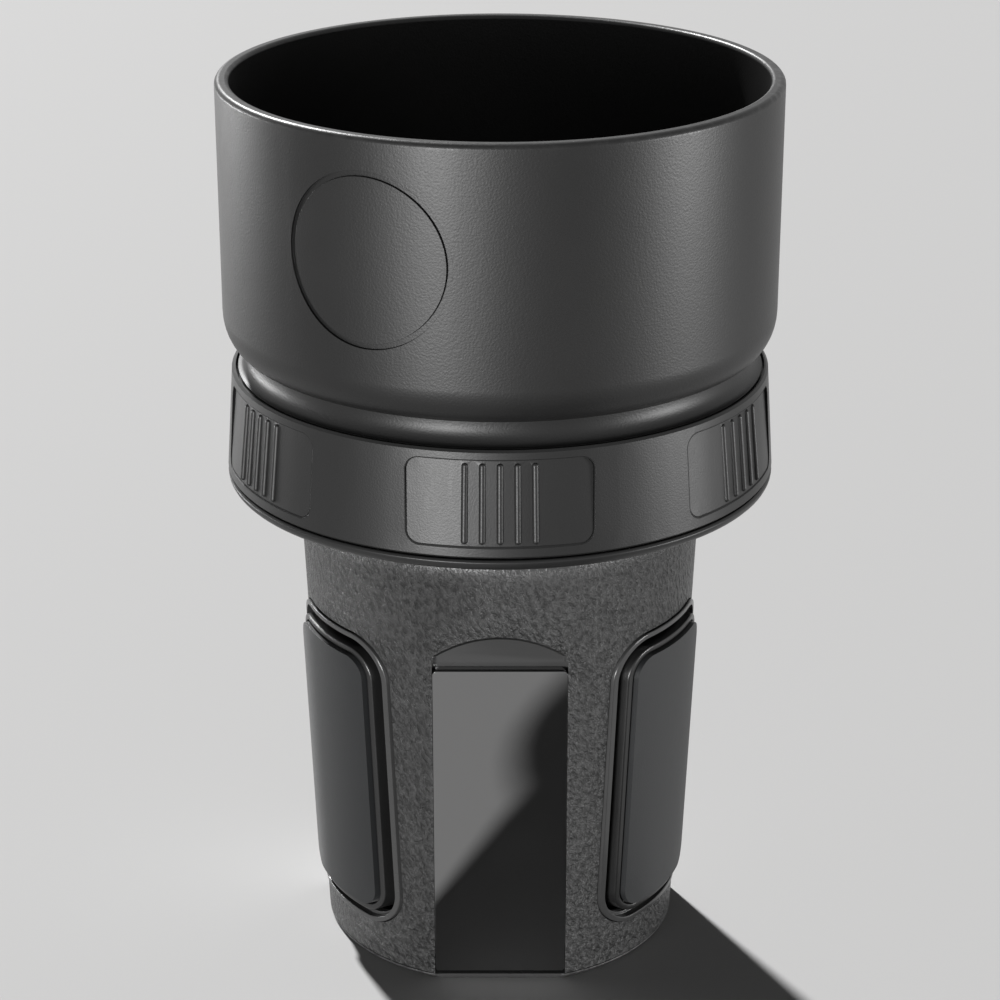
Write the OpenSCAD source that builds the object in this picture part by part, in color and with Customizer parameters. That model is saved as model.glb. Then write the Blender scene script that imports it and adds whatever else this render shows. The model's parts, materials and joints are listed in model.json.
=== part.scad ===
/* [Cup] */
// Diameter inside the cup, wide enough for large bottles
cup_bore = 97; // [88:0.5:106]
// Thickness of the cup wall
cup_wall = 2.6; // [2.2:0.1:3]
// Height of the straight part of the cup wall
cup_wall_h = 42.6; // [36:0.2:70]
// Height of the rounding under the cup wall
bowl_h = 7.7; // [6:0.1:10]
// Height of the flared collar between the ring and the waist of the cup
collar_h = 3.4; // [2.5:0.1:5]
// How far the collar flares out past the waist
collar_flare = 2.2; // [1.4:0.1:2.3]
// Thickness of the cup floor and of the wall round its well
cup_floor_t = 2.5; // [2:0.1:3.5]
// Thickness of the rubber mat in the cup
mat_t = 2; // [1.4:0.1:3]
// Radius of the blank round field outlined on the cup wall
field_r = 15; // [8:0.5:16]
// Width of the groove round that field
field_groove = 1; // [0.6:0.1:1.6]
// Angle from the front to the middle of that field
field_turn = 26.5; // [0:0.5:60]

/* [Twist ring] */
// Height of the ring
ring_h = 19.5; // [18:0.1:24]
// Angle at which the ring narrows upwards
ring_draft = 3.9; // [2:0.1:5]
// Wall of the ring
ring_wall = 2.6; // [2.2:0.1:3]
// Number of grip fields
grip_n = 6; // [4:1:7]
// Half of the angle that one grip field covers
grip_half = 18.6; // [14:0.2:22]
// Number of ribs on a grip field
rib_n = 5; // [3:1:7]
// Angle between two neighbouring grip ribs
rib_pitch = 3.5; // [2.6:0.1:4]
// Radius of a grip rib
rib_r = 0.6; // [0.4:0.05:0.9]
// Depth of a grip field at its upper end
grip_depth = 0.65; // [0.3:0.05:0.8]

/* [Scroll] */
// Turn of the ring from wings in to wings out, in degrees
twist = 100; // [70:1:106]
// Thickness of the scroll plate
scroll_t = 3; // [2.4:0.1:4]
// Diameter of a follower pin
pin_d = 4; // [3:0.1:4.4]
// Distance of a follower pin from the axis with the wings in
pin_reach = 14.5; // [14.2:0.1:15]
// Radius of the hub that the scroll plate turns on
hub_r = 9; // [8:0.1:9.4]

/* [Base shell] */
// Diameter of the shell at its foot
base_d = 68.2; // [62:0.1:76]
// Angle at which the shell widens upwards
base_draft = 2.38; // [2.2:0.02:2.8]
// Height from the foot to the flange
base_h = 92.3; // [90:0.1:104]
// Wall of the shell
shell_t = 2.4; // [2:0.1:2.6]
// Thickness of the flange and deck on top of the shell
deck_t = 2.2; // [2:0.1:3]
// Height of the visible edge of the bottom cover
cover_edge = 0.8; // [0.6:0.1:2]

/* [Gloss panels] */
// Half of the angle that a flat face covers at the foot
face_arc = 21.8; // [18:0.1:23]
// Height of the upper edge of a gloss panel above the foot
panel_top = 66.1; // [56:0.1:68]
// Thickness of a gloss panel
panel_t = 1.6; // [1.2:0.1:2]
// Height of the shadow groove above a gloss panel
panel_groove = 1.8; // [0.8:0.1:2.4]
// Height of the plain strip above that groove
face_strip = 1.1; // [0.4:0.1:2]
// Height of the slanted ledge above that strip
ledge_h = 5.1; // [4:0.1:8]
// Width of the flat margin on each side of a gloss panel
face_margin = 0.25; // [0.15:0.05:0.6]

/* [Wings] */
// Travel of a wing
wing_travel = 15; // [8:0.1:15.2]
// Half of the angle that a wing covers at its lower edge
wing_arc = 23; // [20:0.1:24]
// Height of the underside of a wing above the foot
wing_z = 11; // [10:0.1:16]
// Height of a wing
wing_h = 55.7; // [44:0.1:57]
// Wall of a wing
wing_t = 1.8; // [1.4:0.1:2.4]
// How far the rim of a wing stands proud of the shell
wing_proud = 1; // [0.4:0.1:1.4]
// Width of the rim round the rubber pad of a wing
rim_w = 1.15; // [0.9:0.05:2]
// Width of the groove between that rim and the pad
rim_groove = 0.35; // [0.1:0.05:0.6]
// Thickness of a rubber pad
pad_t = 2.1; // [1.4:0.1:2.6]
// How far a rubber pad stands proud of the rim round it
pad_proud = 0.7; // [0.2:0.1:1.2]
// Width of a window frame
frame_w = 1.75; // [1.2:0.05:3]
// Width of the step on the inner edge of a window frame
step_w = 0.7; // [0.3:0.05:0.9]
// Thickness of a window frame
frame_t = 1.5; // [1:0.1:1.8]

/* [Fits] */
// Gap between the ring and its neighbours
seam = 0.3; // [0.2:0.05:0.5]
// Gap between a wing and its window
window_gap = 0.9; // [0.5:0.1:1.2]
// Width of the groove round a window frame
frame_gap = 0.2; // [0.05:0.05:0.4]
// Gap between a sliding post and its guide
slide_gap = 0.3; // [0.2:0.05:0.4]
// Radial running clearance of the scroll plate on its hub
hub_gap = 0.06; // [0.02:0.01:0.1]
// Gap on each side of a follower pin in its scroll slot
slot_gap = 0.15; // [0.1:0.05:0.3]
// Gap round an inlaid piece
inlay_gap = 0.08; // [0.05:0.01:0.15]
// Radial clearance of screws and pins in their holes
hole_gap = 0.05; // [0.02:0.01:0.1]

/* [Fasteners] */
// Shank diameter of the screws
screw_d = 2.8; // [2.4:0.1:3]
// Length of the screws in the base
screw_l = 8; // [7:0.5:9]
// Length of the screws that hold the scroll plate under the ring
scroll_screw_l = 6; // [5:0.5:6.5]
// Length of the screws that hold the cup on its hub
cup_screw_l = 12; // [10:0.5:12.5]
// Head diameter of the screws
head_d = 5.4; // [4.8:0.1:5.8]
// Head height of the screws
head_h = 1.3; // [1:0.1:1.5]
// Radius of the screw bosses
boss_r = 3.4; // [3:0.1:3.6]

/* [Hidden] */
$fn = 96;
small_fn = 48;
ring_fn = 144;
eps = 0.01;
// How far a cut runs past the face that it opens
over = 1;

// Directions of the wings and of the flat faces between them
WING_A = [210, -30, 90];
FACE_A = [-90, 150, 30];

// Small edge breaks and roundings
edge_break = 0.4;
rim_round = 1;
lip_round = 0.8;
well_round = 1.5;
edge_soft = 1.8;
panel_break = 0.35;
panel_round = 1.4;
wing_r = 5.5;

// Room round screws, whose heads are sunk below the surface, and their drive
head_gap = 0.15;
head_sink = 0.2;
tip_gap = 0.5;
drive_w = 0.7;
drive_l = 3;

// Points of an arc, and of a quarter ellipse that leaves p sideways and reaches q upright
function arc(x, z, r, a0, a1, n) =
    [for (i = [0:n]) let(a = a0 + (a1 - a0) * i / n) [x + r * cos(a), z + r * sin(a)]];
function sweep(p, q, n) = [for (i = [0:n]) let(a = 90 * i / n)
    [p[0] + (q[0] - p[0]) * sin(a), q[1] + (p[1] - q[1]) * cos(a)]];
function back(points) = [for (i = [len(points) - 1:-1:0]) points[i]];

// A width that follows from an angle, rounded to 0.01 mm
function tidy(w) = round(w * 100) / 100;

// Radius of the shell at a height
function base_r(z) = base_d / 2 + z * tan(base_draft);

// Levels of the base
cover_seam = 0.2;
shell_z = cover_edge + cover_seam;
cover_t = 2.6;
cover_gap = 0.15;
deck_z = base_h + deck_t;
spigot_h = 2.5;
spigot_t = 1.7;

// Levels of the ring and of what turns with it
washer_t = 0.4;
washer_gap = 0.1;
scroll_z = deck_z + washer_t + washer_gap;
ring_z = deck_z + seam;
ring_top = ring_z + ring_h;
ledge_z = scroll_z + scroll_t;
ledge_t = 2.2;

// The lower edge of the ring is flush with the cup wall
cup_r = cup_bore / 2 + cup_wall;
function ring_r(z) = cup_r - (z - ring_z) * tan(ring_draft);
function ring_in(z) = ring_r(z) - ring_wall;
plate_gap = 0.5;
plate_r = ring_in(ring_z) - plate_gap;

// Lugs that the scroll plate is screwed to, under the ledge of the ring
lug_n = 6;
lug_h = 4;
lug_rad = 3;
lug_bite = 0.1;
lug_r = ring_in(ring_z) - lug_rad + lug_bite;
washer_w = 7.5;
washer_r = lug_r - head_d / 2 - head_gap - plate_gap;

// Grip fields and their ribs
grip_low = 2.1;
grip_high = 1.8;
grip_fade = 0.02;
grip_round = 2.4;
rib_end = 0.5;
rib_sink = 0.15;

// The collar of the cup lies in a nest in the top of the ring
ring_lip = 0.7;
nest_h = 1.2;
nest_gap = 0.45;
neck_gap = 0.75;
nest_r = ring_r(ring_top) - ring_lip;
collar_r = nest_r - nest_gap;
collar_z = ring_top - nest_h + nest_gap;
neck_r = ring_in(ring_top) - neck_gap;

// Levels and radii of the cup
floor_gap = 0.4;
floor_z = ledge_z + ledge_t + lug_h + floor_gap;
waist_band = 0.8;
waist_r = collar_r - collar_flare;
waist_z = ring_top + collar_h;
well_r = neck_r - cup_floor_t;
wall_z = waist_z + bowl_h;
rim_z = wall_z + cup_wall_h;
field_depth = 0.6;
foot_rim = 3;
mat_gap = 0.1;
mat_rings = 6;
mat_groove = 1.4;
mat_depth = 0.6;

// Flat faces of the base and the walls behind their panels
groove_top = panel_top + panel_groove;
face_top = groove_top + face_strip;
arch_z = face_top + ledge_h;
face_half = base_r(0) * sin(face_arc);
face_0 = base_r(0) * cos(face_arc);
face_1 = sqrt(pow(base_r(face_top), 2) - pow(face_half, 2));
face_wall = 1.6;
panel_w = tidy(2 * (face_half - face_margin));
panel_z = shell_z + cover_seam;
function face_x(z) = face_0 + (face_1 - face_0) * z / face_top;

// Wings and windows
wing_w = tidy(2 * base_r(wing_z) * sin(wing_arc));
wing_top = wing_z + wing_h;
wing_mid = wing_z + wing_h / 2;
wing_back = 1.5;
wing_in = pin_reach - wing_back;
pad_seat = wing_proud + pad_proud - pad_t;
shelf_t = 1.6;
shelf_in = 2;
frame_proud = 0.5;
frame_step = 0.9;
notch_l = 7;
notch_w = 8;
notch_d = 0.7;
notch_in = 7.9;

// Posts, keels and the rails that guide them
post_r = 3.5;
post_gap = 0.3;
post_top = base_h - post_gap;
keel_l = 5.2;
keel_z = cover_t + floor_gap;
rail_t = 1.4;
rail_h = 6;
rail_gap = 1.7;
rail_bite = 0.5;
pin_len = 14;
pin_sink = 0.4;
pin_top = ledge_z - pin_sink;

// Point of the spiral at angle t, moved off its centreline by s square to it
spiral_n = 25;
lead = wing_travel / twist;
function spiral_point(t, s) = let(r = pin_reach - lead * t, l = lead * 180 / PI, m = norm([r, l]))
    [(r + s * r / m) * cos(t) - s * l / m * sin(t), (r + s * r / m) * sin(t) + s * l / m * cos(t)];

// Places of the screws, and their bosses
boss_cap = 3;
boss_gap = 0.7;
boss_bite = 0.7;
web_t = 2.4;
cup_screw_r = 5.2;
cup_screw_z = floor_z + cup_floor_t - head_h - head_sink;
scroll_screw_z = scroll_z + head_h + head_sink;
scroll_tip = scroll_screw_z + scroll_screw_l;
deck_screw_r = base_r(base_h - spigot_h) - shell_t - spigot_t - boss_gap - boss_r;
deck_screw_z = deck_z - head_h;
cover_screw_r = face_0 - panel_t - face_wall + boss_bite - boss_r;
cover_screw_z = head_h + head_sink;

// Rounded rectangle of width w from z up to z + h
module round_rect(w, h, z, r) {
    translate([-w / 2 + r, z]) square([w - 2 * r, h]);
    translate([-w / 2, z + r]) square([w, h - 2 * r]);
    for (x = [-w / 2 + r, w / 2 - r], y = [z + r, z + h - r]) translate([x, y]) circle(r);
}

// The same outline as a block that runs outwards along X
module block(w, h, z, r, x0, x1) {
    translate([x0, 0, 0]) rotate([90, 0, 90]) linear_extrude(height = x1 - x0) round_rect(w, h, z, r);
}

// Solid of the tapered base, grown by g
module taper(g, z0, z1) {
    translate([0, 0, z0]) cylinder(h = z1 - z0, r1 = base_r(z0) + g, r2 = base_r(z1) + g);
}

// Everything outside a flat face and the slanted ledge above it, moved out by g
module beyond_face(g) {
    out = base_r(arch_z) - face_1;
    rotate([90, 0, 0]) linear_extrude(height = base_d, center = true) polygon([
        [face_x(-over) + g, -over], [face_1 + g, face_top],
        [face_1 + g + 2 * out, face_top + 2 * ledge_h],
        [face_1 + base_d, face_top + 2 * ledge_h], [face_1 + base_d, -over]]);
}

// Pan head screw, head up, its head resting at z = 0
module screw(l) {
    difference() {
        union() {
            cylinder(h = head_h, r = head_d / 2);
            translate([0, 0, -l]) cylinder(h = l + eps, r = screw_d / 2, $fn = small_fn);
        }
        for (a = [0, 90]) rotate([0, 0, a]) translate([-drive_l / 2, -drive_w / 2, head_h - drive_w])
            cube([drive_l, drive_w, over]);
    }
}

// Hole for such a screw, with room for its head above z = 0
module screw_hole(l, top) {
    translate([0, 0, -l]) cylinder(h = l + eps, r = screw_d / 2 + hole_gap, $fn = small_fn);
    cylinder(h = top, r = head_d / 2 + head_gap);
}

// Outline of half the cup: up the outside from the floor, over the rim and down the inside
cup_outline = concat(
    [[0, floor_z], [neck_r, floor_z], [neck_r, collar_z], [collar_r - edge_break, collar_z],
        [collar_r, collar_z + edge_break]],
    sweep([collar_r, ring_top], [waist_r, waist_z], 6),
    sweep([waist_r, waist_z + waist_band], [cup_r, wall_z], 9),
    arc(cup_r - rim_round, rim_z - rim_round, rim_round, 0, 90, 5),
    arc(cup_bore / 2 + lip_round, rim_z - lip_round, lip_round, 90, 180, 5),
    back(sweep([well_r, wall_z - bowl_h + cup_wall], [cup_bore / 2, wall_z], 9)),
    arc(well_r - well_round, floor_z + cup_floor_t + well_round, well_round, 0, -90, 5),
    [[0, floor_z + cup_floor_t]]);

module cup_body() {
    color([0.17, 0.17, 0.175]) difference() {
        union() {
            rotate_extrude() polygon(cup_outline);
            translate([0, 0, ledge_z + seam]) cylinder(h = floor_z - ledge_z, r = hub_r + foot_rim);
        }
        for (i = [0:2]) rotate([0, 0, 120 * i]) translate([cup_screw_r, 0, cup_screw_z])
            screw_hole(cup_screw_l, cup_floor_t + over);
        // Groove round the blank field, left of the front
        rotate([0, 0, -90 - field_turn]) translate([0, 0, (wall_z + rim_z) / 2]) rotate([0, 90, 0])
            difference() {
                cylinder(h = cup_r + over, r = field_r + field_groove / 2);
                cylinder(h = cup_r + over, r = field_r - field_groove / 2);
                rotate([0, -90, 0]) cylinder(h = 2 * cup_wall_h, r = cup_r - field_depth, center = true);
            }
    }
}

module cup_mat() {
    z = floor_z + cup_floor_t;
    r = well_r - well_round - mat_gap;
    color([0.09, 0.09, 0.09]) difference() {
        translate([0, 0, z]) cylinder(h = mat_t, r = r);
        for (i = [1:mat_rings]) translate([0, 0, z + mat_t - mat_depth]) difference() {
            cylinder(h = mat_depth + over, r = i * r / (mat_rings + 1) + mat_groove / 2);
            translate([0, 0, -over]) cylinder(h = mat_depth + 3 * over,
                r = i * r / (mat_rings + 1) - mat_groove / 2);
        }
    }
}

module cup_screws() {
    color([0.6, 0.6, 0.62]) for (i = [0:2]) rotate([0, 0, 120 * i])
        translate([cup_screw_r, 0, cup_screw_z]) screw(cup_screw_l);
}

// One grip field: a shallow recess that runs out downwards
module grip_recess() {
    z0 = ring_z + grip_low;
    z1 = ring_top - grip_high;
    difference() {
        block(tidy(2 * cup_r * sin(grip_half)), z1 - z0, z0, grip_round, cup_r / 2, cup_r + over);
        translate([0, 0, z0 - over]) cylinder(h = z1 - z0 + 2 * over,
            r1 = ring_r(z0) - grip_fade, r2 = ring_r(z1) - grip_depth);
    }
}

// Round ribs on a grip field
module grip_ribs() {
    z0 = ring_z + grip_low + rib_end + rib_r;
    z1 = ring_top - grip_high - rib_end - rib_r;
    lean = atan((ring_r(z0) - ring_r(z1) + grip_depth - rib_sink) / (z1 - z0));
    for (i = [0:rib_n - 1]) rotate([0, 0, (i - (rib_n - 1) / 2) * rib_pitch])
        translate([ring_r(z0) - rib_sink, 0, z0]) rotate([0, -lean, 0]) {
            cylinder(h = z1 - z0, r = rib_r, $fn = small_fn / 2);
            sphere(rib_r, $fn = small_fn / 2);
            translate([0, 0, z1 - z0]) sphere(rib_r, $fn = small_fn / 2);
        }
}

module twist_ring() {
    color([0.2, 0.2, 0.205]) difference() {
        union() {
            difference() {
                rotate_extrude($fn = ring_fn) polygon([
                    [ring_in(ring_z), ring_z], [ring_r(ring_z) - edge_break, ring_z],
                    [ring_r(ring_z + edge_break), ring_z + edge_break],
                    [ring_r(ring_top - edge_break), ring_top - edge_break],
                    [ring_r(ring_top) - edge_break, ring_top], [nest_r, ring_top],
                    [nest_r, ring_top - nest_h], [ring_in(ring_top), ring_top - nest_h],
                    [ring_in(ledge_z), ledge_z + ledge_t], [lug_r - lug_rad, ledge_z + ledge_t],
                    [lug_r - lug_rad, ledge_z], [ring_in(ring_z), ledge_z]]);
                for (i = [0:grip_n - 1]) rotate([0, 0, 360 / grip_n * i - 90]) grip_recess();
            }
            for (i = [0:grip_n - 1]) rotate([0, 0, 360 / grip_n * i - 90]) grip_ribs();
            for (i = [0:lug_n - 1]) rotate([0, 0, 360 / lug_n * i - 60])
                translate([lug_r, 0, ledge_z + eps])
                    cylinder(h = ledge_t + lug_h, r = lug_rad, $fn = small_fn);
        }
        for (i = [0:lug_n - 1]) rotate([0, 0, 360 / lug_n * i - 60])
            translate([lug_r, 0, ledge_z - over]) cylinder(
                h = scroll_tip + tip_gap - ledge_z + over,
                r = screw_d / 2 + hole_gap, $fn = small_fn);
    }
}

// Archimedean slot: the pin is pushed further out as the plate turns on
module scroll_slot() {
    w = pin_d / 2 + slot_gap;
    linear_extrude(height = scroll_t + 2 * over) union() {
        polygon(concat([for (i = [0:spiral_n]) spiral_point(-twist * i / spiral_n, w)],
            [for (i = [spiral_n:-1:0]) spiral_point(-twist * i / spiral_n, -w)]));
        for (t = [0, -twist]) translate(spiral_point(t, 0)) circle(w, $fn = small_fn);
    }
}

module scroll_plate() {
    color([0.75, 0.75, 0.72]) difference() {
        translate([0, 0, scroll_z]) cylinder(h = scroll_t, r = plate_r);
        translate([0, 0, scroll_z - over]) cylinder(h = scroll_t + 2 * over, r = hub_r + hub_gap);
        for (a = WING_A) translate([0, 0, scroll_z - over]) rotate([0, 0, a]) scroll_slot();
        for (i = [0:lug_n - 1]) rotate([0, 0, 360 / lug_n * i - 60])
            translate([lug_r, 0, scroll_screw_z]) rotate([180, 0, 0]) screw_hole(scroll_t, head_h + over);
    }
}

module scroll_screws() {
    color([0.6, 0.6, 0.62]) for (i = [0:lug_n - 1]) rotate([0, 0, 360 / lug_n * i - 60])
        translate([lug_r, 0, scroll_screw_z]) rotate([180, 0, 0]) screw(scroll_screw_l);
}

module slip_washer() {
    color([0.85, 0.85, 0.82]) translate([0, 0, deck_z]) difference() {
        cylinder(h = washer_t, r = washer_r);
        translate([0, 0, -over]) cylinder(h = washer_t + 2 * over, r = washer_r - washer_w);
    }
}

// Pair of rails for each wing, from the hub out to x1
module rails(x1, z, h) {
    for (a = WING_A, s = [0, 1]) rotate([0, 0, a]) mirror([0, s, 0])
        translate([hub_r, post_r + slide_gap, z]) cube([x1 - hub_r, rail_t, h]);
}

module top_deck() {
    spigot_z = base_h - spigot_h;
    spigot_r = base_r(spigot_z) - shell_t;
    hub_h = ledge_z + seam - deck_z;
    color([0.2, 0.2, 0.205]) difference() {
        union() {
            rotate_extrude($fn = ring_fn) polygon(concat([[0, base_h]],
                sweep([cup_r - edge_soft, base_h], [cup_r, deck_z - edge_break], 5),
                [[cup_r - edge_break, deck_z], [0, deck_z]]));
            translate([0, 0, spigot_z]) difference() {
                cylinder(h = spigot_h + eps, r = spigot_r - inlay_gap);
                translate([0, 0, -over]) cylinder(h = spigot_h + over, r = spigot_r - spigot_t);
            }
            rails(base_r(base_h - rail_h) - shell_t - spigot_t + rail_bite, base_h - rail_h, rail_h + eps);
            translate([0, 0, deck_z - eps]) cylinder(h = hub_h + eps, r = hub_r);
        }
        // Slots that the follower pins pass through
        for (a = WING_A) rotate([0, 0, a]) translate([pin_reach, 0, base_h - over])
            linear_extrude(height = deck_t + 2 * over) union() {
                translate([0, -pin_d / 2 - slide_gap]) square([wing_travel, pin_d + 2 * slide_gap]);
                for (x = [0, wing_travel]) translate([x, 0]) circle(pin_d / 2 + slide_gap, $fn = small_fn);
            }
        for (i = [0:2]) rotate([0, 0, 120 * i]) translate([cup_screw_r, 0, base_h - over])
            cylinder(h = deck_t + hub_h + 2 * over, r = screw_d / 2 + hole_gap, $fn = small_fn);
        for (a = FACE_A) rotate([0, 0, a]) translate([deck_screw_r, 0, deck_screw_z])
            screw_hole(screw_l, head_h + over);
    }
}

module deck_screws() {
    color([0.6, 0.6, 0.62]) for (a = FACE_A) rotate([0, 0, a])
        translate([deck_screw_r, 0, deck_screw_z]) screw(screw_l);
}

// Outline of a wing, moved out by grow, from x0 outwards
module window(grow, x0) {
    block(wing_w + 2 * grow, wing_h + 2 * grow, wing_z - grow, wing_r + grow, x0, base_d);
}

// Bosses for the screws of the cover and the deck, the upper ones with a web to the shell
module bosses() {
    cover_tip = cover_screw_z + screw_l + tip_gap + boss_cap;
    deck_tip = deck_screw_z - screw_l - tip_gap - boss_cap;
    for (a = FACE_A) rotate([0, 0, a]) {
        translate([cover_screw_r, 0, cover_t])
            cylinder(h = cover_tip - cover_t, r = boss_r, $fn = small_fn);
        intersection() {
            union() {
                translate([deck_screw_r, 0, deck_tip])
                    cylinder(h = base_h - deck_tip, r = boss_r, $fn = small_fn);
                translate([deck_screw_r, -web_t / 2, deck_tip])
                    cube([base_d / 2, web_t, base_h - spigot_h - tip_gap - deck_tip]);
            }
            taper(-shell_t / 2, 0, base_h);
        }
    }
}

module base_housing() {
    color([0.24, 0.24, 0.24]) difference() {
        union() {
            difference() {
                taper(0, shell_z, base_h);
                for (a = FACE_A) rotate([0, 0, a]) beyond_face(0);
                difference() {
                    taper(-shell_t, shell_z - over, base_h + over);
                    for (a = FACE_A) rotate([0, 0, a]) beyond_face(-panel_t - face_wall);
                }
                for (a = WING_A) rotate([0, 0, a]) {
                    window(window_gap, pin_reach);
                    difference() {
                        window(window_gap + frame_w + frame_gap, pin_reach);
                        taper(-frame_t - inlay_gap, 0, base_h);
                    }
                }
                for (a = FACE_A) rotate([0, 0, a]) intersection() {
                    beyond_face(-panel_t - inlay_gap);
                    translate([0, -panel_w / 2, 0]) cube([base_d, panel_w, groove_top]);
                }
            }
            bosses();
        }
        for (a = FACE_A) rotate([0, 0, a]) {
            translate([cover_screw_r, 0, cover_t - over]) cylinder(
                h = cover_screw_z + screw_l + tip_gap - cover_t + over,
                r = screw_d / 2 + hole_gap, $fn = small_fn);
            translate([deck_screw_r, 0, deck_screw_z - screw_l - tip_gap])
                cylinder(h = screw_l + tip_gap + over, r = screw_d / 2 + hole_gap, $fn = small_fn);
        }
    }
}

module window_frame(a) {
    color([0.19, 0.19, 0.195]) rotate([0, 0, a]) difference() {
        intersection() {
            window(window_gap + frame_w, pin_reach);
            taper(frame_proud, 0, base_h);
        }
        taper(-frame_t, -over, base_h + over);
        window(window_gap, pin_reach);
        // Step on the inner edge of the frame
        difference() {
            window(window_gap + step_w, pin_reach);
            taper(-frame_step, -over, base_h + over);
        }
    }
}

module window_frame_left() { window_frame(WING_A[0]); }
module window_frame_right() { window_frame(WING_A[1]); }
module window_frame_rear() { window_frame(WING_A[2]); }

module gloss_panel(a) {
    out = face_x(panel_top);
    low = face_x(panel_z);
    color([0.02, 0.02, 0.022]) rotate([0, 0, a]) intersection() {
        rotate([90, 0, 0]) linear_extrude(height = panel_w - 2 * inlay_gap, center = true) polygon([
            [low - panel_t, panel_z], [low - panel_break, panel_z], [low, panel_z + panel_break],
            [out, panel_top - panel_break], [out - panel_break, panel_top], [out - panel_t, panel_top]]);
        block(panel_w, panel_top - panel_z, panel_z, panel_round, pin_reach, base_d);
    }
}

module gloss_panel_front() { gloss_panel(FACE_A[0]); }
module gloss_panel_rear_left() { gloss_panel(FACE_A[1]); }
module gloss_panel_rear_right() { gloss_panel(FACE_A[2]); }

module wing(a) {
    color([0.16, 0.16, 0.165]) rotate([0, 0, a]) difference() {
        union() {
            difference() {
                intersection() {
                    window(0, wing_in);
                    taper(wing_proud, 0, base_h);
                }
                // Seat of the rubber pad
                difference() {
                    window(-rim_w, wing_in);
                    taper(pad_seat, 0, base_h);
                }
                // Hollow, open towards the axis
                intersection() {
                    window(-wing_t, wing_in - over);
                    taper(pad_seat - wing_t, 0, base_h);
                }
            }
            // Shelves that stiffen the hollow
            intersection() {
                union() for (z = [wing_mid - wing_h / 5, wing_mid + wing_h / 5])
                    translate([wing_in + shelf_in, -(wing_w - wing_t) / 2, z - shelf_t / 2])
                        cube([base_d, wing_w - wing_t, shelf_t]);
                taper(pad_seat - wing_t / 2, 0, base_h);
            }
            // Post that carries the follower pin, and keel in the bottom guide
            translate([pin_reach, 0, wing_top - wing_t])
                cylinder(h = post_top - wing_top + wing_t, r = post_r);
            translate([pin_reach - post_r, -post_r, keel_z])
                cube([keel_l, 2 * post_r, wing_z + wing_t - keel_z]);
        }
        translate([pin_reach, 0, pin_top - pin_len])
            cylinder(h = pin_len, r = pin_d / 2 + hole_gap, $fn = small_fn);
        // Shallow notch on top that shows when the wing is out
        translate([base_r(wing_top) - notch_in - notch_l, -notch_w / 2, wing_top - notch_d])
            cube([notch_l, notch_w, over]);
    }
}

module wing_left() { wing(WING_A[0]); }
module wing_right() { wing(WING_A[1]); }
module wing_rear() { wing(WING_A[2]); }

module wing_pad(a) {
    color([0.28, 0.28, 0.29]) rotate([0, 0, a]) difference() {
        intersection() {
            window(-rim_w - rim_groove, wing_in);
            taper(wing_proud + pad_proud, 0, base_h);
        }
        taper(pad_seat + eps, -over, base_h + over);
    }
}

module wing_pad_left() { wing_pad(WING_A[0]); }
module wing_pad_right() { wing_pad(WING_A[1]); }
module wing_pad_rear() { wing_pad(WING_A[2]); }

module follower_pin(a) {
    color([0.7, 0.7, 0.72]) rotate([0, 0, a]) translate([pin_reach, 0, pin_top - pin_len])
        cylinder(h = pin_len, r = pin_d / 2, $fn = small_fn);
}

module follower_pin_left() { follower_pin(WING_A[0]); }
module follower_pin_right() { follower_pin(WING_A[1]); }
module follower_pin_rear() { follower_pin(WING_A[2]); }

module bottom_cover() {
    color([0.2, 0.2, 0.2]) difference() {
        union() {
            difference() {
                union() {
                    cylinder(h = edge_break, r1 = base_r(0) - edge_break, r2 = base_r(0));
                    translate([0, 0, edge_break]) cylinder(h = cover_edge - edge_break, r = base_r(0));
                }
                for (a = FACE_A) rotate([0, 0, a]) beyond_face(0);
            }
            difference() {
                cylinder(h = cover_t, r = base_r(shell_z) - shell_t - cover_gap);
                for (a = FACE_A) rotate([0, 0, a]) beyond_face(-panel_t - face_wall - cover_gap);
            }
            rails(base_r(0) - shell_t - rail_gap, cover_t - eps, rail_h);
        }
        for (a = FACE_A) rotate([0, 0, a]) translate([cover_screw_r, 0, cover_screw_z])
            rotate([180, 0, 0]) screw_hole(screw_l, cover_screw_z + over);
    }
}

module cover_screws() {
    color([0.6, 0.6, 0.62]) for (a = FACE_A) rotate([0, 0, a])
        translate([cover_screw_r, 0, cover_screw_z]) rotate([180, 0, 0]) screw(screw_l);
}

cup_body();
cup_mat();
cup_screws();
twist_ring();
scroll_plate();
scroll_screws();
slip_washer();
top_deck();
deck_screws();
base_housing();
window_frame_left();
window_frame_right();
window_frame_rear();
gloss_panel_front();
gloss_panel_rear_left();
gloss_panel_rear_right();
wing_left();
wing_right();
wing_rear();
wing_pad_left();
wing_pad_right();
wing_pad_rear();
follower_pin_left();
follower_pin_right();
follower_pin_rear();
bottom_cover();
cover_screws();
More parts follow.
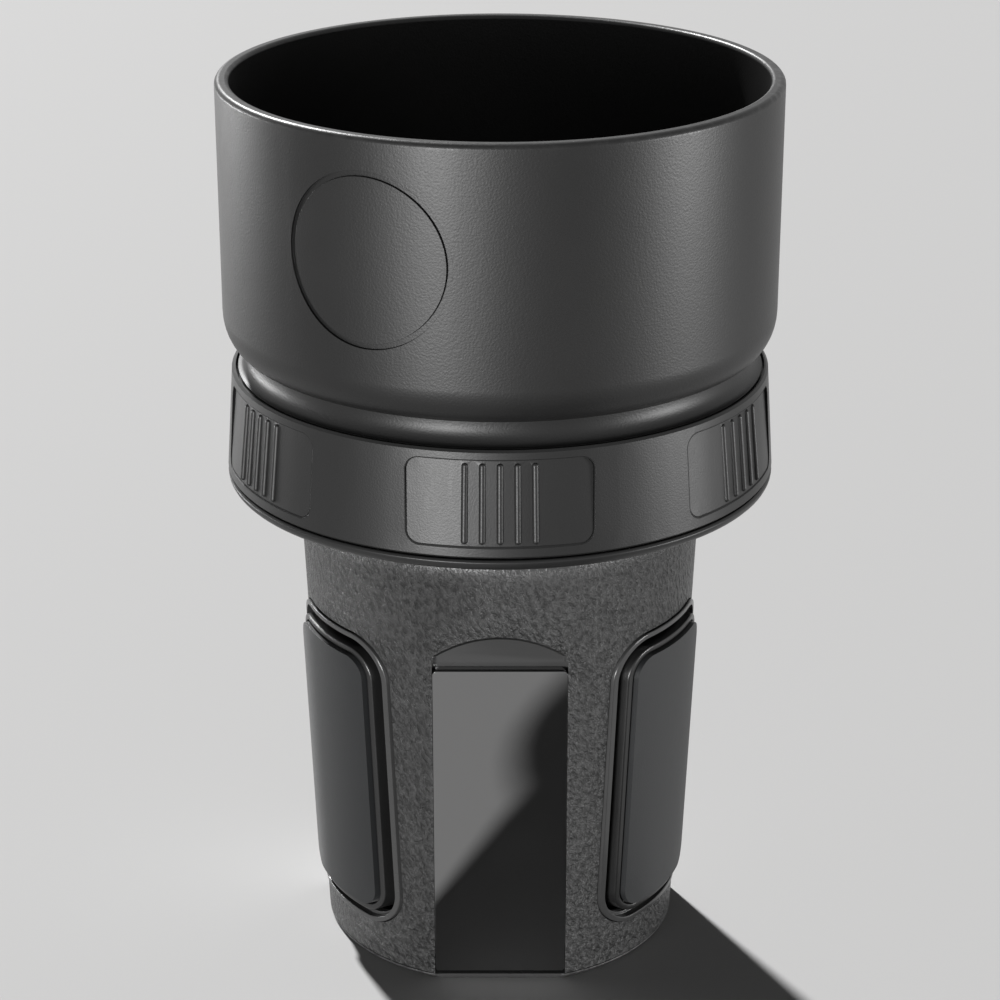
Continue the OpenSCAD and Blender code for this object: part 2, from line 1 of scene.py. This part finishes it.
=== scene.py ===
import json
import math
import bpy
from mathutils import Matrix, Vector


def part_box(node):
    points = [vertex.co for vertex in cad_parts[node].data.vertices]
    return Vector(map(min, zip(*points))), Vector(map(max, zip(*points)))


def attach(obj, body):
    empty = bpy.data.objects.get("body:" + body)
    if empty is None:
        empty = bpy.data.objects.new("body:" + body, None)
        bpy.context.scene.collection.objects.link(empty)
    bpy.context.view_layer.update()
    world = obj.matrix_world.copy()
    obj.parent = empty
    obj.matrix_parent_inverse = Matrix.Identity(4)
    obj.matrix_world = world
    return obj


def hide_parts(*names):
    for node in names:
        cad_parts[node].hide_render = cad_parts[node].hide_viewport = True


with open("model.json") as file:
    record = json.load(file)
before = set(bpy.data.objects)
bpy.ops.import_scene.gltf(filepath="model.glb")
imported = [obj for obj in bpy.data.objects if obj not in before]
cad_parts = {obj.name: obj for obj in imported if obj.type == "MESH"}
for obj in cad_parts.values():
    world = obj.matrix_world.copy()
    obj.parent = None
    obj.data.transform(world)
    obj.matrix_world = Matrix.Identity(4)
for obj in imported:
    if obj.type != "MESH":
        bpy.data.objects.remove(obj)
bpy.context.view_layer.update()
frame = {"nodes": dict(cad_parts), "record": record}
print("frame loaded")

# Lengths are in metres, angles in degrees
record = frame["record"]
bodyOf = {node: body for body, nodes in record["behaviour"]["bodies"].items() for node in nodes}

# The tapered shell, measured on the frame
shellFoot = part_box("bottom_cover")[1].x
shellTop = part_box("base_housing")[1].x
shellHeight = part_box("base_housing")[1].z
shellSlope = (shellTop - shellFoot) / shellHeight


def shellRadius(height):
    return shellFoot + shellSlope * height


def choose(*pieces):
    bpy.ops.object.select_all(action="DESELECT")
    for piece in pieces:
        piece.select_set(True)
        bpy.context.view_layer.objects.active = piece


def useModifier(piece, kind, **settings):
    choose(piece)
    bpy.ops.object.modifier_add(type=kind)
    modifier = piece.modifiers[-1]
    for name, value in settings.items():
        setattr(modifier, name, value)
    bpy.ops.object.modifier_apply(modifier=modifier.name)


# Edges turning by more than sharpOver are rounded, and faces within flatUnder of each other are one
edgeRules = {"sharpOver": 35, "smoothUnder": 40, "flatUnder": 0.3, "weldUnder": 0.000001}


def roundEdges(piece, width, steps, smoothUnder=edgeRules["smoothUnder"]):
    useModifier(piece, "BEVEL", width=width, segments=steps, limit_method="ANGLE",
                angle_limit=math.radians(edgeRules["sharpOver"]), miter_outer="MITER_ARC")
    bpy.ops.object.shade_smooth_by_angle(angle=math.radians(smoothUnder))
    useModifier(piece, "WEIGHTED_NORMAL", keep_sharp=True)


def standFor(piece, node):
    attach(piece, bodyOf[node])
    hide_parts(node)


# Moulded pieces whose edges get a true rounding: its width, its steps, and the widest smooth angle
mouldedEdges = {
    "cup_body": (0.0002, 3, 40),
    "twist_ring": (0.0002, 3, 14),
    "top_deck": (0.00015, 2, 40),
    "base_housing": (0.00018, 2, 40),
    "bottom_cover": (0.00015, 2, 40),
    "gloss_panel": (0.00022, 3, 40),
    "window_frame": (0.0002, 3, 40),
    "wing": (0.0003, 3, 40),
}


def roundedCopy(node, width, steps, smoothUnder):
    piece = bpy.data.objects.new(node + "_rounded", frame["nodes"][node].data.copy())
    bpy.context.scene.collection.objects.link(piece)
    choose(piece)
    bpy.ops.mesh.customdata_custom_splitnormals_clear()
    bpy.ops.object.mode_set(mode="EDIT")
    bpy.ops.mesh.select_all(action="SELECT")
    bpy.ops.mesh.remove_doubles(threshold=edgeRules["weldUnder"])
    bpy.ops.mesh.dissolve_limited(angle_limit=math.radians(edgeRules["flatUnder"]))
    bpy.ops.object.mode_set(mode="OBJECT")
    roundEdges(piece, width, steps, smoothUnder)
    standFor(piece, node)
    return piece


pieces = {}
for kind, edge in mouldedEdges.items():
    for node in sorted(frame["nodes"]):
        if node == kind or node.startswith(kind + "_") and not node.startswith("wing_pad"):
            pieces[node] = roundedCopy(node, *edge)
print("moulded edges rounded", len(pieces))

# Rubber pads: a rounded block trimmed to the taper of the shell, its edges well rounded. The seat
# is the depth of the pad's back under the shell, and spare and over make the trimming cuts clean
padShape = {"corner": 0.004, "cornerSteps": 14, "edge": 0.0009, "edgeSteps": 5, "coneSides": 288,
            "seat": -0.00038, "spare": 1.2, "over": 0.01}
wingTurns = {"rear": 0, "left": 120, "right": 240}


def addCone(grow, low, high):
    bpy.ops.mesh.primitive_cone_add(
        vertices=padShape["coneSides"], radius1=shellRadius(low) + grow, radius2=shellRadius(high) + grow,
        depth=high - low, location=(0, 0, (low + high) / 2))
    return bpy.context.object


def trim(piece, cutter, operation):
    useModifier(piece, "BOOLEAN", object=cutter, operation=operation, solver="EXACT")
    bpy.data.objects.remove(cutter)


def makePad():
    low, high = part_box("wing_pad_rear")
    proud = high.y - shellRadius(high.z)
    middle = (low + high) / 2
    bpy.ops.object.select_all(action="DESELECT")
    bpy.ops.mesh.primitive_cube_add(size=1, location=middle)
    pad = bpy.context.object
    pad.scale = (high.x - low.x, (high.y - low.y) * padShape["spare"], high.z - low.z)
    bpy.ops.object.transform_apply(location=True, rotation=True, scale=True)
    bpy.ops.object.mode_set(mode="EDIT")
    bpy.ops.mesh.select_mode(type="EDGE")
    bpy.ops.mesh.select_all(action="DESELECT")
    bpy.ops.object.mode_set(mode="OBJECT")
    for edge in pad.data.edges:
        first, second = [pad.data.vertices[index].co for index in edge.vertices]
        edge.select = abs(first.y - second.y) > abs(first.x - second.x) + abs(first.z - second.z)
    bpy.ops.object.mode_set(mode="EDIT")
    bpy.ops.mesh.bevel(offset=padShape["corner"], segments=padShape["cornerSteps"], affect="EDGES")
    bpy.ops.object.mode_set(mode="OBJECT")
    trim(pad, addCone(proud, 0, shellHeight), "INTERSECT")
    over = padShape["over"]
    trim(pad, addCone(padShape["seat"], -over, shellHeight + over), "DIFFERENCE")
    roundEdges(pad, padShape["edge"], padShape["edgeSteps"])
    return pad


rearPad = makePad()
for name, turn in wingTurns.items():
    pad = bpy.data.objects.new("pad_" + name, rearPad.data.copy())
    bpy.context.scene.collection.objects.link(pad)
    pad.rotation_euler.z = math.radians(turn)
    choose(pad)
    bpy.ops.object.transform_apply(location=False, rotation=True, scale=False)
    standFor(pad, "wing_pad_" + name)
    pieces["wing_pad_" + name] = pad
bpy.data.objects.remove(rearPad)
print("rubber pads made")

# Camera and studio
studio = {
    "cameraPlace": (0, -0.50798, 0.28665),
    "cameraTilt": 67.4574,
    "lens": 103.43,
    "shiftUp": 0.048,
    "floorWidth": 6,
    "floorShade": 0.6,
    "floorWarmth": 0.004,
    "floorRoughness": 0.85,
    "skyShade": 0.62,
    "skyLight": 0.03,
}
# The key comes from far behind, and the front panel mirrors its shadow on the floor
key = {"from": (-0.5, 1.02, 0.95), "strength": 4.7, "spread": 3.5}
# Low strips draw upright bands of light on the walls and leave the floor alone
strips = {
    "leftStrip": {"place": (-0.85, 0.55, 0.06), "width": 0.4, "height": 0.08, "watts": 4},
    "frontStrip": {"place": (-0.4, -0.92, 0.06), "width": 0.3, "height": 0.08, "watts": 12},
    "rightStrip": {"place": (0.97, -0.26, 0.06), "width": 0.3, "height": 0.08, "watts": 8},
}
lampAim = (0, 0, 0.08)


class Wire:
    # A socket whose value takes part in expressions
    def __init__(self, finish, socket):
        self.finish = finish
        self.socket = socket

    def maths(self, operation, first, second=0):
        return self.finish.node("ShaderNodeMath", {"operation": operation}, {0: first, 1: second})

    def __add__(self, other):
        return self.maths("ADD", self, other)

    def __radd__(self, other):
        return self.maths("ADD", other, self)

    def __sub__(self, other):
        return self.maths("SUBTRACT", self, other)

    def __rsub__(self, other):
        return self.maths("SUBTRACT", other, self)

    def __mul__(self, other):
        return self.maths("MULTIPLY", self, other)

    def __rmul__(self, other):
        return self.maths("MULTIPLY", other, self)

    def __abs__(self):
        return self.maths("ABSOLUTE", self)

    def __pow__(self, other):
        return self.maths("POWER", self, other)


class NodeBench:
    # A node tree, and one way to lay any node in it
    def __init__(self, tree):
        self.tree = tree

    def node(self, kind, settings={}, sockets={}, out=0):
        made = self.tree.nodes.new(kind)
        for name, value in settings.items():
            setattr(made, name, value)
        for name, value in sockets.items():
            self.feed(made.inputs[name], value)
        return Wire(self, made.outputs[out])

    def feed(self, socket, value):
        if isinstance(value, Wire):
            self.tree.links.new(value.socket, socket)
        else:
            socket.default_value = value


class Finish(NodeBench):
    # A material while its nodes are laid
    def __init__(self, name):
        self.material = bpy.data.materials.new(name)
        self.material.use_nodes = True
        super().__init__(self.material.node_tree)
        self.shader = self.tree.nodes["Principled BSDF"]
        self.spot = self.node("ShaderNodeTexCoord", out="Object")
        self.x = self.node("ShaderNodeSeparateXYZ", {}, {0: self.spot}, "X")
        self.y = self.node("ShaderNodeSeparateXYZ", {}, {0: self.spot}, "Y")
        self.z = self.node("ShaderNodeSeparateXYZ", {}, {0: self.spot}, "Z")

    def noise(self, scale, detail=2.0, rough=0.5, spot=None):
        return self.node("ShaderNodeTexNoise", {}, {
            "Vector": spot or self.spot, "Scale": scale, "Detail": detail, "Roughness": rough})

    # Broad, soft unevenness
    def clouds(self, scale):
        return self.noise(scale, 4, 0.6)

    def stretched(self, size, spot=None):
        return self.node("ShaderNodeMapping", {}, {"Vector": spot or self.spot, "Scale": size})

    # Space wound up round the axis, so that a pattern along it leans to one side
    def leaning(self, turnPerMetre):
        return self.node("ShaderNodeVectorRotate", {"rotation_type": "Z_AXIS"}, {
            "Vector": self.spot, "Angle": self.z * turnPerMetre})

    def between(self, value, low, high):
        return self.node("ShaderNodeMapRange", {"interpolation_type": "SMOOTHSTEP"}, {
            "Value": value, "From Min": low, "From Max": high})

    def largest(self, first, second):
        return first.maths("MAXIMUM", first, second)

    def radius(self):
        return (self.x * self.x + self.y * self.y) ** 0.5

    def mix(self, mask, low, high):
        return self.node("ShaderNodeMix", {"data_type": "RGBA"}, {
            "Factor": mask, 6: low, 7: high}, 2)

    def bump(self, height, depth, normal=None):
        sockets = {"Height": height, "Distance": depth}
        if normal:
            sockets["Normal"] = normal
        return self.node("ShaderNodeBump", {}, sockets)

    def surface(self, **sockets):
        for name, value in sockets.items():
            self.feed(self.shader.inputs[name.replace("_", " ")], value)
        return self.material


def grey(shade, warmth=0.0):
    return (shade * (1 + warmth), shade, shade * (1 - warmth), 1)


def dress(material, *nodes):
    for name in nodes:
        slots = pieces.get(name, frame["nodes"][name]).data.materials
        slots.clear()
        slots.append(material)


# Moulded satin plastic of the cup, with lighter wear on the rim
cupLook = {"shade": 0.007, "lighter": 1.28, "warmth": 0.01,
           "worn": 0.03, "wearShare": 0.6, "wearDepth": 0.0016,
           "gloss": 0.35, "roughness": 0.34, "varied": 0.1, "grained": 0.06, "polish": 0.1,
           "cloudScale": 24, "cloudSpan": (0.3, 0.75), "patchScale": 420, "patchSpan": (0.42, 0.68),
           "grainScale": 2600, "grainDepth": 0.00003}


def cupPlastic():
    f = Finish("cupPlastic")
    grain = f.noise(cupLook["grainScale"], 3)
    cloud = f.clouds(cupLook["cloudScale"])
    patches = f.noise(cupLook["patchScale"], 3, 0.6)
    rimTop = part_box("cup_body")[1].z
    rim = f.between(f.z, rimTop - cupLook["wearDepth"], rimTop)
    wear = rim * f.between(patches, *cupLook["patchSpan"])
    lighter = grey(cupLook["shade"] * cupLook["lighter"], cupLook["warmth"])
    colour = f.mix(f.between(cloud, *cupLook["cloudSpan"]), grey(cupLook["shade"]), lighter)
    roughness = cupLook["roughness"] + cloud * cupLook["varied"] + grain * cupLook["grained"]
    return f.surface(
        Base_Color=f.mix(wear * cupLook["wearShare"], colour, grey(cupLook["worn"])),
        Specular_IOR_Level=cupLook["gloss"],
        Roughness=roughness - wear * cupLook["polish"],
        Normal=f.bump(grain, cupLook["grainDepth"]))


# Smoother satin plastic of the twist ring and deck, polished where fingers grip it
ringLook = {"shade": 0.01, "lighter": 1.35, "gloss": 0.35, "roughness": 0.33, "varied": 0.1, "grained": 0.05,
            "polish": 0.04, "cloudScale": 30, "cloudSpan": (0.35, 0.7),
            "scuffScale": 900, "scuffStretch": 0.12, "scuffSpan": (0.5, 0.8),
            "grainScale": 3200, "grainDepth": 0.00002}
# The step round each grip field: its turn, its half width, its margins on the wall, its corner, and the
# narrow band of painted shade in it, which is also dented as a shallow groove
gripField = {"turn": 60, "half": 0.01627, "low": 0.0021, "high": 0.0018, "corner": 0.0024,
             "lineHalf": 0.0002, "paintedShade": 0.002, "lineDepth": 0.0002, "lineRough": 0.3}


# Painted shade in that step, which runs round a rounded oblong on the wall of the ring; the same mask also
# dents a shallow groove there
def paintedGripShade(f):
    low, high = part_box("twist_ring")
    bottom, top = low.z + gripField["low"], high.z - gripField["high"]
    step = math.radians(gripField["turn"])
    turn = f.node("ShaderNodeMath", {"operation": "ARCTAN2"}, {0: f.x, 1: f.y})
    turn = f.node("ShaderNodeMath", {"operation": "WRAP"}, {0: turn, 1: step / 2, 2: -step / 2})
    aside = abs(f.radius() * f.node("ShaderNodeMath", {"operation": "SINE"}, {0: turn}))
    across = aside - (gripField["half"] - gripField["corner"])
    upward = abs(f.z - (bottom + top) / 2) - ((top - bottom) / 2 - gripField["corner"])
    beyond = f.largest(across, 0) ** 2 + f.largest(upward, 0) ** 2
    within = f.node("ShaderNodeMath", {"operation": "MINIMUM"}, {0: f.largest(across, upward), 1: 0.0})
    distance = abs(beyond ** 0.5 + within - gripField["corner"])
    return 1 - f.between(distance, gripField["lineHalf"] / 2, gripField["lineHalf"])


def ringPlastic():
    f = Finish("ringPlastic")
    grain = f.noise(ringLook["grainScale"], 2)
    cloud = f.clouds(ringLook["cloudScale"])
    scuffs = f.noise(ringLook["scuffScale"], 3, 0.7, f.stretched((1, 1, ringLook["scuffStretch"])))
    touched = f.between(scuffs, *ringLook["scuffSpan"]) * f.between(cloud, *ringLook["cloudSpan"])
    # Painted shade: the step round each grip field is darkened in the colour, and also roughened and dented
    # as a groove
    grooveAndPaintedShade = paintedGripShade(f)
    worn = f.mix(touched, grey(ringLook["shade"]), grey(ringLook["shade"] * ringLook["lighter"]))
    roughness = ringLook["roughness"] + cloud * ringLook["varied"] + grain * ringLook["grained"]
    return f.surface(
        Base_Color=f.mix(grooveAndPaintedShade, worn, grey(gripField["paintedShade"])),
        Specular_IOR_Level=ringLook["gloss"],
        Roughness=roughness - touched * ringLook["polish"] + grooveAndPaintedShade * gripField["lineRough"],
        Normal=f.bump(1 - grooveAndPaintedShade, gripField["lineDepth"], f.bump(grain, ringLook["grainDepth"])))


# Leather grain of the tapered shell: it leans to one side, runs out under the flange and stops
# where the surface drops below the shell
leatherLook = {"shade": 0.048, "crease": 0.018, "creaseSpan": (0.35, 0.62), "smooth": 0.04, "gloss": 0.4,
               "roughness": 0.36, "varied": 0.1, "polish": 0.14,
               "cloudScale": 36, "cloudSpan": (0.35, 0.75), "cloudShare": 0.3,
               "cellScale": 1250, "fineScale": 3600, "fineShare": 0.15, "length": 0.62, "lean": 9,
               "depth": 0.0022, "coverDepth": 0.0003,
               "fadeSpan": (0.083, 0.0885), "dropSpan": (-0.0004, -0.00012)}


def leather(name, depth):
    f = Finish(name)
    along = f.stretched((1, 1, leatherLook["length"]), f.leaning(leatherLook["lean"]))
    pebble = f.noise(leatherLook["cellScale"], 3.0, 0.5, along)
    fine = f.noise(leatherLook["fineScale"], 2.0)
    cloud = f.clouds(leatherLook["cloudScale"])
    drop = f.radius() - f.z * shellSlope - shellFoot
    rough = f.between(drop, *leatherLook["dropSpan"]) * (1 - f.between(f.z, *leatherLook["fadeSpan"]))
    height = (pebble * (1 - leatherLook["fineShare"]) + fine * leatherLook["fineShare"]) * rough
    raised = f.between(pebble, *leatherLook["creaseSpan"])
    grained = f.mix(raised, grey(leatherLook["crease"]), grey(leatherLook["shade"]))
    colour = f.mix(rough, grey(leatherLook["smooth"]), grained)
    cloudy = f.between(cloud, *leatherLook["cloudSpan"]) * leatherLook["cloudShare"]
    roughness = leatherLook["roughness"] + cloud * leatherLook["varied"]
    return f.surface(
        Base_Color=f.mix(cloudy, colour, grey(leatherLook["shade"])),
        Specular_IOR_Level=leatherLook["gloss"],
        Roughness=roughness - (1 - rough) * leatherLook["polish"],
        Normal=f.bump(height, depth))


# Polished panels, with faint smears and hairlines, clear enough to mirror the floor and the shadow on it
glossLook = {"shade": 0.004, "smeared": 2.2, "smearShare": 0.5, "smearScale": 55, "smearSpan": (0.5, 0.8),
             "hairScale": 260, "hairStretch": 14, "hairSpan": (0.68, 0.74),
             "roughness": 0.03, "smearRough": 0.06, "hairRough": 0.12,
             "mirror": 2.5, "coat": 1.9, "coatRough": 0.02, "waveScale": 40, "waveDepth": 0.00002}


def glossBlack():
    f = Finish("glossBlack")
    smears = f.between(f.noise(glossLook["smearScale"], 5, 0.65), *glossLook["smearSpan"])
    hairs = f.noise(glossLook["hairScale"], 2, 0.5, f.stretched((1, 1, glossLook["hairStretch"])))
    hairs = f.between(hairs, *glossLook["hairSpan"])
    smeared = grey(glossLook["shade"] * glossLook["smeared"])
    return f.surface(
        Base_Color=f.mix(smears * glossLook["smearShare"], grey(glossLook["shade"]), smeared),
        Roughness=glossLook["roughness"] + smears * glossLook["smearRough"] + hairs * glossLook["hairRough"],
        IOR=glossLook["mirror"], Coat_Weight=1.0, Coat_IOR=glossLook["coat"],
        Coat_Roughness=glossLook["coatRough"],
        Normal=f.bump(f.noise(glossLook["waveScale"], 2), glossLook["waveDepth"]))


# Smooth plastic of the window frames
frameLook = {"shade": 0.03, "lighter": 1.4, "roughness": 0.18, "varied": 0.14, "cloudScale": 60,
             "grainScale": 2400, "grainDepth": 0.000012}


def framePlastic():
    f = Finish("framePlastic")
    cloud = f.clouds(frameLook["cloudScale"])
    return f.surface(
        Base_Color=f.mix(cloud, grey(frameLook["shade"]), grey(frameLook["shade"] * frameLook["lighter"])),
        Roughness=frameLook["roughness"] + cloud * frameLook["varied"],
        Normal=f.bump(f.noise(frameLook["grainScale"], 2), frameLook["grainDepth"]))


# Moulded plastic of the wings
wingLook = {"shade": 0.008, "lighter": 1.5, "roughness": 0.2, "varied": 0.16, "grained": 0.05,
            "cloudScale": 40, "grainScale": 2800, "grainDepth": 0.00003}


def wingPlastic():
    f = Finish("wingPlastic")
    grain = f.noise(wingLook["grainScale"], 3)
    cloud = f.clouds(wingLook["cloudScale"])
    return f.surface(
        Base_Color=f.mix(cloud, grey(wingLook["shade"]), grey(wingLook["shade"] * wingLook["lighter"])),
        Roughness=wingLook["roughness"] + cloud * wingLook["varied"] + grain * wingLook["grained"],
        Normal=f.bump(grain, wingLook["grainDepth"]))


# Soft rubber of the pads, a little dusty in places
padLook = {"shade": 0.012, "cool": -0.06, "dust": 0.03, "dustCool": -0.04, "dustShare": 0.5,
           "dustScale": 45, "dustSpan": (0.5, 0.85), "gloss": 0.3, "roughness": 0.46,
           "dustRough": 0.12, "grained": 0.08, "sheen": 0.1, "sheenRough": 0.4,
           "grainScale": 3400, "grainDepth": 0.00004}


def padRubber():
    f = Finish("padRubber")
    grain = f.noise(padLook["grainScale"], 3, 0.6)
    dust = f.between(f.noise(padLook["dustScale"], 5, 0.6), *padLook["dustSpan"])
    clean = grey(padLook["shade"], padLook["cool"])
    dusty = grey(padLook["dust"], padLook["dustCool"])
    return f.surface(
        Base_Color=f.mix(dust * padLook["dustShare"], clean, dusty),
        Specular_IOR_Level=padLook["gloss"],
        Roughness=padLook["roughness"] + dust * padLook["dustRough"] + grain * padLook["grained"],
        Sheen_Weight=padLook["sheen"], Sheen_Roughness=padLook["sheenRough"],
        Normal=f.bump(grain, padLook["grainDepth"]))


# Ribbed rubber mat in the cup
matLook = {"shade": 0.022, "lighter": 2, "roughness": 0.62, "varied": 0.15, "cloudScale": 50,
           "grainScale": 2600, "grainDepth": 0.00005}


def matRubber():
    f = Finish("matRubber")
    cloud = f.clouds(matLook["cloudScale"])
    return f.surface(
        Base_Color=f.mix(cloud, grey(matLook["shade"]), grey(matLook["shade"] * matLook["lighter"])),
        Roughness=matLook["roughness"] + cloud * matLook["varied"],
        Normal=f.bump(f.noise(matLook["grainScale"], 4, 0.6), matLook["grainDepth"]))


# Natural low-friction plastic inside the drive, with turning marks round the axis
slipLook = {"shade": 0.62, "warmth": 0.03, "lighter": 1.12, "lighterWarmth": 0.01, "roughness": 0.42,
            "ringRough": 0.1, "ringScale": 700, "ringDepth": 0.00002, "cloudScale": 40}


def slipPlastic():
    f = Finish("slipPlastic")
    cloud = f.clouds(slipLook["cloudScale"])
    outwards = f.node("ShaderNodeCombineXYZ", {}, {0: f.radius(), 1: 0.0, 2: 0.0})
    rings = f.noise(slipLook["ringScale"], 2, 0.5, outwards)
    lighter = grey(slipLook["shade"] * slipLook["lighter"], slipLook["lighterWarmth"])
    return f.surface(
        Base_Color=f.mix(cloud, grey(slipLook["shade"], slipLook["warmth"]), lighter),
        Roughness=slipLook["roughness"] + rings * slipLook["ringRough"],
        Normal=f.bump(rings, slipLook["ringDepth"]))


# Zinc-plated steel of screws and pins
zincLook = {"shade": 0.5, "cool": -0.03, "lighter": 1.25, "warmth": 0.02, "roughness": 0.26, "varied": 0.16,
            "cloudScale": 400, "turnedScale": 3000, "turnedStretch": 6, "turnedDepth": 0.00001}


def zincSteel():
    f = Finish("zincSteel")
    cloud = f.clouds(zincLook["cloudScale"])
    turned = f.noise(zincLook["turnedScale"], 2, 0.5, f.stretched((1, 1, zincLook["turnedStretch"])))
    lighter = grey(zincLook["shade"] * zincLook["lighter"], zincLook["warmth"])
    return f.surface(
        Base_Color=f.mix(cloud, grey(zincLook["shade"], zincLook["cool"]), lighter),
        Metallic=1.0,
        Roughness=zincLook["roughness"] + cloud * zincLook["varied"],
        Normal=f.bump(turned, zincLook["turnedDepth"]))


dress(cupPlastic(), "cup_body")
dress(ringPlastic(), "twist_ring", "top_deck")
dress(leather("baseLeather", leatherLook["depth"]), "base_housing")
dress(leather("coverLeather", leatherLook["coverDepth"]), "bottom_cover")
dress(glossBlack(), "gloss_panel_front", "gloss_panel_rear_left", "gloss_panel_rear_right")
dress(framePlastic(), "window_frame_left", "window_frame_right", "window_frame_rear")
dress(wingPlastic(), "wing_left", "wing_right", "wing_rear")
dress(padRubber(), "wing_pad_left", "wing_pad_right", "wing_pad_rear")
dress(matRubber(), "cup_mat")
dress(slipPlastic(), "scroll_plate", "slip_washer")
dress(zincSteel(), "cup_screws", "scroll_screws", "deck_screws", "cover_screws",
      "follower_pin_left", "follower_pin_right", "follower_pin_rear")
print("finishes done")


def addFloor():
    bpy.ops.object.select_all(action="DESELECT")
    bpy.ops.mesh.primitive_plane_add(size=studio["floorWidth"], location=(0, 0, 0))
    floor = bpy.context.object
    floor.name = "studioFloor"
    f = Finish("paleFloor")
    f.surface(Base_Color=grey(studio["floorShade"], studio["floorWarmth"]),
              Roughness=studio["floorRoughness"])
    floor.data.materials.append(f.material)
    spared = bpy.data.collections.new("sparedByStrips")
    spared.objects.link(floor)
    spared.collection_objects[0].light_linking.link_state = "EXCLUDE"
    return spared


def aimFrom(place):
    towards = [aim - start for aim, start in zip(lampAim, place)]
    flat = math.hypot(towards[0], towards[1])
    return (math.atan2(flat, -towards[2]), 0, math.atan2(-towards[0], towards[1]))


def addKey():
    bpy.ops.object.light_add(type="SUN", location=key["from"], rotation=aimFrom(key["from"]))
    lamp = bpy.context.object
    lamp.data.energy = key["strength"]
    lamp.data.angle = math.radians(key["spread"])


def addStrip(name, values, spared):
    bpy.ops.object.light_add(type="AREA", location=values["place"], rotation=aimFrom(values["place"]))
    lamp = bpy.context.object
    lamp.name = name
    lamp.data.shape = "RECTANGLE"
    lamp.data.size = values["width"]
    lamp.data.size_y = values["height"]
    lamp.data.energy = values["watts"]
    lamp.visible_camera = False
    lamp.light_linking.receiver_collection = spared


# The sky shows pale to the camera and in mirrors, and lights the object only a little
def addSky():
    world = bpy.data.worlds.new("paleSky")
    world.use_nodes = True
    bpy.context.scene.world = world
    sky = NodeBench(world.node_tree)
    # Mirrors show the pale sky to the camera, and only its weak light to the floor
    light = sky.node("ShaderNodeBackground", {}, {"Color": grey(1), "Strength": studio["skyLight"]})
    shown = sky.node("ShaderNodeBackground", {}, {"Color": grey(studio["skyShade"])})
    straight, glossy, clear = [sky.node("ShaderNodeLightPath", out="Is " + ray + " Ray")
                               for ray in ("Camera", "Glossy", "Transmission")]
    bounced = sky.node("ShaderNodeLightPath", out="Diffuse Depth")
    direct = sky.node("ShaderNodeMath", {"operation": "LESS_THAN"}, {0: bounced, 1: 0.5})
    mirrored = (glossy + clear) * direct
    mixed = sky.node("ShaderNodeMixShader", {}, {0: straight + mirrored, 1: light, 2: shown})
    sky.feed(sky.tree.nodes["World Output"].inputs["Surface"], mixed)


def addCamera():
    bpy.ops.object.camera_add(location=studio["cameraPlace"],
                              rotation=(math.radians(studio["cameraTilt"]), 0, 0))
    camera = bpy.context.object
    camera.data.lens = studio["lens"]
    camera.data.shift_y = studio["shiftUp"]
    bpy.context.scene.camera = camera


sparedFloor = addFloor()
addKey()
for name, values in strips.items():
    addStrip(name, values, sparedFloor)
addSky()
addCamera()
bpy.context.scene.view_settings.view_transform = "Standard"
print("studio done")
